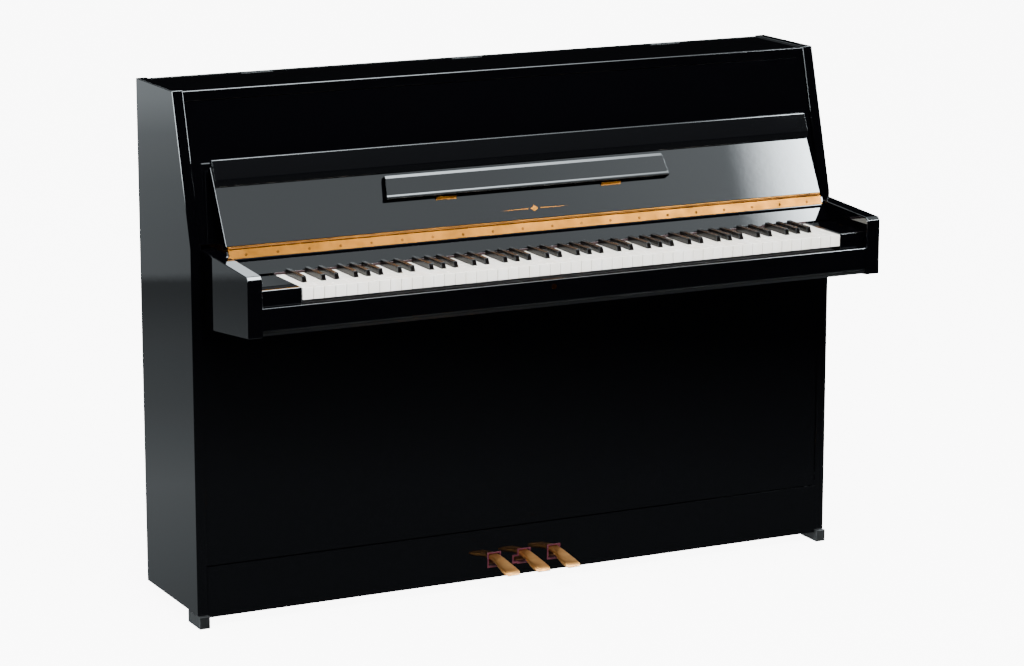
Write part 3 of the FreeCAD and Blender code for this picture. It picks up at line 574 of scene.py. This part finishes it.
def turned(profile, axis, around=20):
    # a solid of revolution: the profile is (along, radius) from end to end, along X or Z
    work = bmesh.new()
    rings = []
    for along, radius in profile:
        ring = []
        for index in range(around):
            angle = 2 * math.pi * index / around
            a, b = radius * math.cos(angle) * mm, radius * math.sin(angle) * mm
            ring.append(work.verts.new((along * mm, a, b) if axis == "X" else (a, b, along * mm)))
        rings.append(ring)
    for first, second in zip(rings, rings[1:]):
        for index in range(around):
            after = (index + 1) % around
            work.faces.new((first[index], first[after], second[after], second[index]))
    work.faces.new(rings[0])
    work.faces.new(rings[-1])
    return work


def screwHead(radius, tall):
    # a slotted countersunk head, its slot pressed in across the middle
    slot = radius * 0.16
    work = turned([(-0.3, radius * 0.7), (0, radius), (tall * 0.6, radius * 0.97), (tall, radius * 0.8)], "Z")
    for side in (-1, 1):
        bmesh.ops.bisect_plane(work, geom=work.verts[:] + work.edges[:] + work.faces[:],
                               plane_co=(0, side * slot * mm, 0), plane_no=(0, 1, 0))
    for side in (-1, 1):
        bmesh.ops.bisect_plane(work, geom=work.verts[:] + work.edges[:] + work.faces[:],
                               plane_co=(0, side * slot * 1.5 * mm, 0), plane_no=(0, 1, 0))
    for vertex in work.verts:
        if abs(vertex.co.y) <= slot * 1.02 * mm and vertex.co.z > tall * 0.5 * mm:
            vertex.co.z -= tall * 0.55 * mm
    return work


hingeForm = {
    "half": 682, "leafLow": -21, "leafHigh": -1, "leaf": 1.2,
    "knuckles": 44, "radius": 2.6, "ease": 0.4, "pin": 1.3, "pinEnd": 0.91,
    "screws": 20, "screwAt": -13.5, "screwPitch": 68, "screwRadius": 3.1, "screwTall": 0.5,
}


def placedOnBoard(data, t, n):
    # turns a mesh drawn with Z up into the board's frame, Z standing out of its face
    origin = onBoard(0, t, n)
    out = (onBoard(0, t, n + 1) - origin).normalized()
    up = (onBoard(0, t + 1, n) - origin).normalized()
    turn = Matrix((Vector((1, 0, 0)), up, out)).transposed().to_4x4()
    data.transform(Matrix.Translation(origin) @ turn)
    return data


def makeLongHinge():
    half, thick, pinRadius = hingeForm["half"], hingeForm["leaf"], hingeForm["pin"]
    low, high = hingeForm["leafLow"], hingeForm["leafHigh"]
    # the knuckles and screws take the darker brass, painted shade standing in for the shadow on the knuckles
    dark = finishes["brass_dark"]
    leaf = [(high, 0), (high, thick), (low, thick), (low, 0)]
    data = bevelled("long_hinge_leaf", extruded(leaf, lambda t: half, onBoard), 0.35 * mm, 2)
    meshPiece("long_hinge_leaf", data, "case", "brass", ["fallboard_hinge_lower"])
    pin = turned([(-half, hingeForm["pinEnd"]), (0.5 - half, pinRadius), (half - 0.5, pinRadius),
                  (half, hingeForm["pinEnd"])], "X", 12)
    pinData = bpy.data.meshes.new("long_hinge_pin")
    bmesh.ops.recalc_face_normals(pin, faces=pin.faces)
    pin.to_mesh(pinData)
    pin.free()
    shadeByAngle(pinData)
    meshPiece("long_hinge_pin", placedOnBoard(pinData, 0, 0), "case", "brass")
    pitch = 2 * half / hingeForm["knuckles"]
    radius = hingeForm["radius"]
    reach = pitch / 2 - 0.3  # neighbours stand 0.6 mm apart
    ease = hingeForm["ease"]
    for offset, body in ((0, "case"), (1, "fallboard")):
        knuckle = turned([(-reach, radius - ease), (ease - reach, radius), (reach - ease, radius),
                          (reach, radius - ease)], "X")
        start = ((offset + 0.5) * pitch - half) * mm
        knuckles = repeated(f"long_hinge_knuckles_{body}", knuckle, dark, Count=hingeForm["knuckles"] // 2,
                            Start=(start, 0, 0), Step=(2 * pitch * mm, 0, 0), Turn=0.0, Seed=1)
        meshPiece(f"long_hinge_knuckles_{body}", placedOnBoard(knuckles, 0, 0), body, "brass")
    first = -hingeForm["screwPitch"] * (hingeForm["screws"] - 1) / 2
    head = screwHead(hingeForm["screwRadius"], hingeForm["screwTall"])
    screws = repeated("long_hinge_screws", head, dark, Count=hingeForm["screws"], Start=(first * mm, 0, 0),
                      Step=(hingeForm["screwPitch"] * mm, 0, 0), Turn=math.pi, Seed=7)
    meshPiece("long_hinge_screws", placedOnBoard(screws, hingeForm["screwAt"], thick), "case", "brass")


# an inlaid brass ornament in the middle of the fallboard: a lozenge with a tapered line to each side
ornamentForm = {"middle": 3, "height": 28, "lozenge": 9, "line": 64, "gap": 5, "thick": 0.12}


def makeOrnament():
    form = ornamentForm
    work = bmesh.new()
    wide = form["lozenge"]
    tall = wide * 0.7
    shapes = [[(-wide, 0), (0, -tall), (wide, 0), (0, tall)]]
    near = wide + form["gap"]
    for side in (-1, 1):
        shapes.append([(side * near, -0.9), (side * (near + form["line"]), 0), (side * near, 0.9)])
    for shape in shapes:
        places = [(form["middle"] + x, form["height"] + t) for x, t in shape]
        low = [work.verts.new(onBoard(x, t, 0)) for x, t in places]
        top = [work.verts.new(onBoard(x, t, form["thick"])) for x, t in places]
        work.faces.new(low[::-1])
        work.faces.new(top)
        for index in range(len(shape)):
            after = (index + 1) % len(shape)
            work.faces.new((low[index], low[after], top[after], top[index]))
    data = bevelled("fallboard_ornament", work, 0.03 * mm, 1)
    meshPiece("fallboard_ornament", data, "fallboard", "brass")


makeLongHinge()
makeOrnament()
print("long hinge and ornament made")


pedalForm = {"neck": 22, "tip": 34, "rear": 120, "rings": 40, "shown": 0.75, "pinAt": (60, 66),
             "pinRadius": 4, "pinLength": 50}


def pedalSection(y, front, end):
    # half width, top and bottom of the lever at y, in millimetres
    slope = max(0.0, (front - y) / (front - end))
    ease = slope * slope * (3 - 2 * slope)
    half = pedalForm["neck"] / 2 + (pedalForm["tip"] - pedalForm["neck"]) / 2 * min(1.0, ease * 1.25)
    top = 71 - 14 * ease
    low = 61 - 12 * ease
    nose = max(0.0, (end + 16 - y) / 16)  # the lip rounds over at the front
    half *= math.sqrt(max(0.02, 1 - (nose * 0.72) ** 3))
    top -= 8.0 * nose ** 3
    low += 0.8 * nose ** 2
    return half, top, low


def makePedal(node):
    low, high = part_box(node)
    middle = (low[0] + high[0]) / 2
    end = low[1] / mm
    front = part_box("toe_rail")[0][1] / mm - 4
    work = bmesh.new()
    rings = []
    count = pedalForm["rings"]
    shown = pedalForm["shown"]  # this share of the rings goes to the part that shows, the rest to the shank
    knee = end + (front - end) * shown
    for ring in range(count + 1):
        share = ring / count
        if share < shown:
            y = end + (front - end) * share
        else:
            y = knee + (pedalForm["rear"] - knee) * (share - shown) / (1 - shown)
        half, top, bottom = pedalSection(y, front, end)
        corner = min(half, (top - bottom) / 2) * 0.75
        outline = roundedOutline([(-half, bottom, corner), (half, bottom, corner), (half, top, corner),
                                  (-half, top, corner)], 5)
        rings.append([work.verts.new((middle + a * mm, y * mm, b * mm)) for a, b in outline])
    size = len(rings[0])
    for first, second in zip(rings, rings[1:]):
        for index in range(size):
            after = (index + 1) % size
            work.faces.new((first[index], first[after], second[after], second[index]))
    work.faces.new(rings[0])
    work.faces.new(rings[-1])
    pinY, pinZ = pedalForm["pinAt"]
    lying = Matrix.Translation((middle, pinY * mm, pinZ * mm)) @ Matrix.Rotation(math.pi / 2, 4, "Y")
    radius = pedalForm["pinRadius"] * mm
    bmesh.ops.create_cone(work, cap_ends=True, segments=24, radius1=radius, radius2=radius,
                          depth=pedalForm["pinLength"] * mm, matrix=lying)
    bmesh.ops.recalc_face_normals(work, faces=work.faces)
    data = bpy.data.meshes.new(node + "_finished")
    work.to_mesh(data)
    work.free()
    shadeByAngle(data, 50)
    data.materials.append(finishes["brass_pedal"])
    meshPiece(node + "_finished", data, bodyOf[node], "brass", [node])


for pedalName in ("soft_pedal", "mute_pedal", "sustain_pedal"):
    makePedal(pedalName)
print("pedals made")


cameraForm = {"place": (-3.186, -6.374, 2.125), "yaw": 26.44, "down": 12.56, "lens": 122.5}


def makeCamera():
    data = bpy.data.cameras.new("camera")
    data.lens = cameraForm["lens"]
    data.clip_end = 200
    camera = bpy.data.objects.new("camera", data)
    camera.location = cameraForm["place"]
    tilt = math.radians(90 - cameraForm["down"])
    camera.rotation_euler = Euler((tilt, 0, math.radians(-cameraForm["yaw"])))
    bpy.context.scene.collection.objects.link(camera)
    bpy.context.scene.camera = camera


def makeFloor():
    data = bpy.data.meshes.new("studio_floor")
    half = 60
    corners = [(-half, -half, 0), (half, -half, 0), (half, half, 0), (-half, half, 0)]
    data.from_pydata(corners, [], [(0, 1, 2, 3)])
    floor = bpy.data.objects.new("studio_floor", data)
    material, tree, shader = newMaterial("studio_floor_pale")
    shader.inputs["Base Color"].default_value = linear("#B4B4B4")
    shader.inputs["Roughness"].default_value = 1.0
    shader.inputs["Specular IOR Level"].default_value = 0.0
    shader.inputs["Emission Color"].default_value = linear("#FFFFFF")
    path = addNode(tree, "ShaderNodeLightPath")
    seen = math2(tree, "MULTIPLY", path.outputs["Is Camera Ray"], 8.4)  # white to the eye, dim to the object
    tree.links.new(seen, shader.inputs["Emission Strength"])
    data.materials.append(material)
    bpy.context.scene.collection.objects.link(floor)
    floor.visible_glossy = False


def band(tree, value, low, high, soft):
    # 1 between low and high, with soft ends
    up = spread(tree, value, 0, 1, low - soft, low + soft, "SMOOTHSTEP")
    down = spread(tree, value, 1, 0, high - soft, high + soft, "SMOOTHSTEP")
    return math2(tree, "MULTIPLY", up, down)


def makeWorld():
    # white to the eye, an even pale grey for soft light, and dark flags with softboxes in the gloss
    world = bpy.data.worlds.new("studio")
    bpy.context.scene.world = world
    world.use_nodes = True
    tree = world.node_tree
    tree.nodes.clear()
    direction = addNode(tree, "ShaderNodeTexCoord").outputs["Generated"]
    axes = addNode(tree, "ShaderNodeSeparateXYZ", Vector=direction)
    x, y, z = axes.outputs
    rise = math2(tree, "MULTIPLY", math2(tree, "ARCSINE", z), 180 / math.pi)
    toFront = math2(tree, "MULTIPLY", y, -1.0)
    around = math2(tree, "MULTIPLY", math2(tree, "ARCTAN2", x, toFront), 180 / math.pi)
    ahead = spread(tree, y, 1, 0, -0.1, 0.1)
    behind = spread(tree, y, 0, 1, -0.1, 0.1)
    slanted = math2(tree, "ADD", rise, math2(tree, "MULTIPLY", around, 0.29))  # the softbox's foot slopes
    boxAhead = math2(tree, "MULTIPLY", ahead, band(tree, slanted, 46.6, 200, 1.0))
    glowSide = band(tree, around, 36.5, 60, 3.5)
    glow = math2(tree, "MULTIPLY", glowSide, band(tree, slanted, 46.6, 66, 2.0))
    across = math2(tree, "ADD", around, spread(tree, rise, 17.1, -23.4, 0, 90))  # and so does its left edge
    windowSide = band(tree, across, 40.65, 46, 2.0)
    window = math2(tree, "MULTIPLY", windowSide, band(tree, slanted, 46.6, 57, 2.0))
    eitherSide = band(tree, math2(tree, "ABSOLUTE", around), 62, 108, 2.0)
    sideBoxes = math2(tree, "MULTIPLY", eitherSide, band(tree, rise, -3, 24, 3.0))
    behindHigh = math2(tree, "MULTIPLY", behind, band(tree, rise, 22, 100, 0.7))
    leftCorner = band(tree, around, 153, 175, 1.5)
    behindLeft = math2(tree, "MULTIPLY", leftCorner, band(tree, rise, 12, 22, 0.7))
    slope = addNode(tree, "ShaderNodeValToRGB", Fac=spread(tree, rise, 0, 1, -20, -7))
    ramp = slope.color_ramp
    stops = [(0.0, 0.30), (0.241, 0.34), (0.285, 0.39), (0.386, 0.50), (0.488, 0.33), (0.563, 0.27),
             (0.627, 0.17), (0.641, 0.17), (0.652, 0.50), (0.702, 0.52), (0.766, 0.58), (0.829, 0.74),
             (0.873, 1.15), (1.0, 1.6)]
    for index, (place, level) in enumerate(stops):
        stop = ramp.elements[index] if index < 2 else ramp.elements.new(place)
        stop.position = place
        stop.color = (level, level, level, 1)
    behindLow = math2(tree, "MULTIPLY", behind, spread(tree, rise, 1, 0, -6.5, -5))
    lowGlow = math2(tree, "MULTIPLY", ahead, spread(tree, slanted, 0, 1, 42.5, 49))
    strip = math2(tree, "MULTIPLY", band(tree, around, 50, 66, 1.5), band(tree, rise, 61.8, 72, 1.0))
    frontLow = math2(tree, "MULTIPLY", ahead, spread(tree, rise, 1, 0, -15, -12.6))
    overhead = band(tree, rise, 62, 100, 4.0)
    floorGlow = math2(tree, "MULTIPLY", slope.outputs["Color"], behindLow)
    levels = [(boxAhead, 1.4), (glow, 0.9), (window, 170.0), (overhead, 20.0), (lowGlow, 0.5), (strip, 34.0),
              (frontLow, 0.1), (sideBoxes, 40.0), (behindHigh, 0.9), (behindLeft, 2.1), (floorGlow, 1.0)]
    total = 0.005  # the unlit room
    for share, level in levels:
        total = math2(tree, "ADD", math2(tree, "MULTIPLY", share, level), total)
    gloss = addNode(tree, "ShaderNodeBackground", Strength=total)
    gloss.inputs["Color"].default_value = (0.86, 0.95, 1.0, 1)
    soft = addNode(tree, "ShaderNodeBackground", Color=linear("#FFFFFF"), Strength=1.6)
    shown = addNode(tree, "ShaderNodeBackground", Color=linear("#FFFFFF"), Strength=9.0)
    path = addNode(tree, "ShaderNodeLightPath")
    first = addNode(tree, "ShaderNodeMixShader", i0=path.outputs["Is Glossy Ray"],
                    i1=soft.outputs[0], i2=gloss.outputs[0])
    second = addNode(tree, "ShaderNodeMixShader", i0=path.outputs["Is Camera Ray"],
                     i1=first.outputs[0], i2=shown.outputs[0])
    out = addNode(tree, "ShaderNodeOutputWorld")
    tree.links.new(second.outputs[0], out.inputs["Surface"])


def makeLight(name, place, aim, size, power):
    data = bpy.data.lights.new(name, "AREA")
    data.size = size
    data.energy = power
    light = bpy.data.objects.new(name, data)
    light.location = place
    light.rotation_euler = (Vector(aim) - Vector(place)).to_track_quat("-Z", "Y").to_euler()
    light.visible_glossy = False
    bpy.context.scene.collection.objects.link(light)


makeCamera()
makeFloor()
makeWorld()
makeLight("overhead_softbox", (-0.5, -2.5, 4.5), (0, 0, 0.7), 3.0, 620)
print("studio set")
